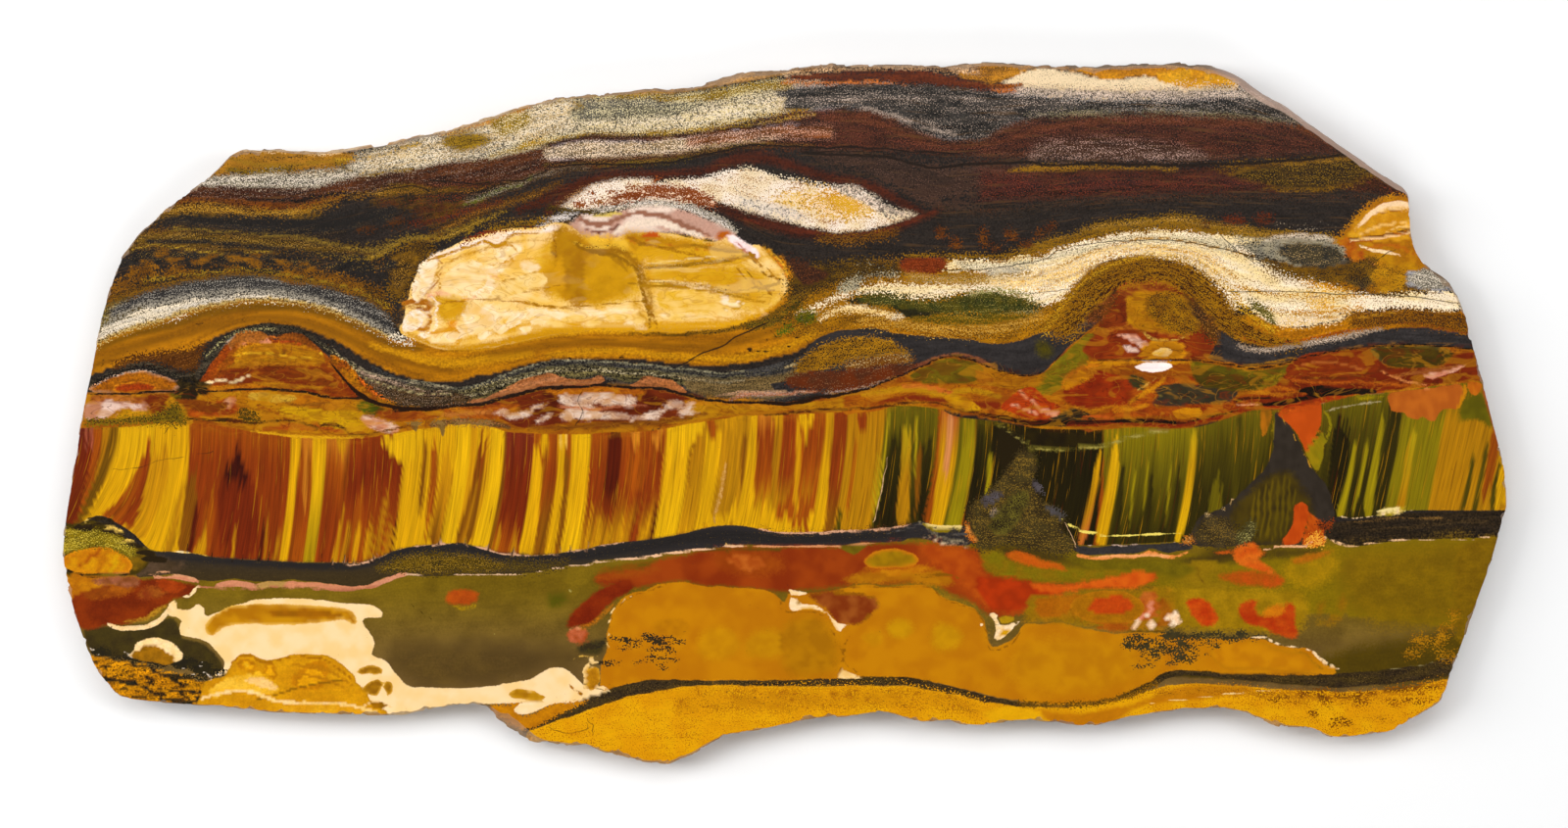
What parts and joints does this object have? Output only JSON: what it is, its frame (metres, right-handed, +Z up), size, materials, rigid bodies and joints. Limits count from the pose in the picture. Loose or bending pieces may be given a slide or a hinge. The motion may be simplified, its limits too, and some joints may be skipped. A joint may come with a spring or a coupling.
{
  "type": "polished tiger eye slab",
  "caption": "Flat polished slice of banded tiger eye with a rough natural rim, resting on its sawn back.",
  "frame": {"origin": "centre of the slab's footprint box, on the surface that the sawn back rests on", "axes": "+X along the slab's length, parallel to its bands, towards the end where the fibre band turns green; +Y across the bands towards the dark grey and maroon edge; +Z up out of the polished face"},
  "size_m": [0.2954, 0.1446, 0.0076],
  "materials": {
    "polished_stone": "polished"
  },
  "bodies": {
    "root": {"slab": "polished_stone"}
  },
  "joints": []
}
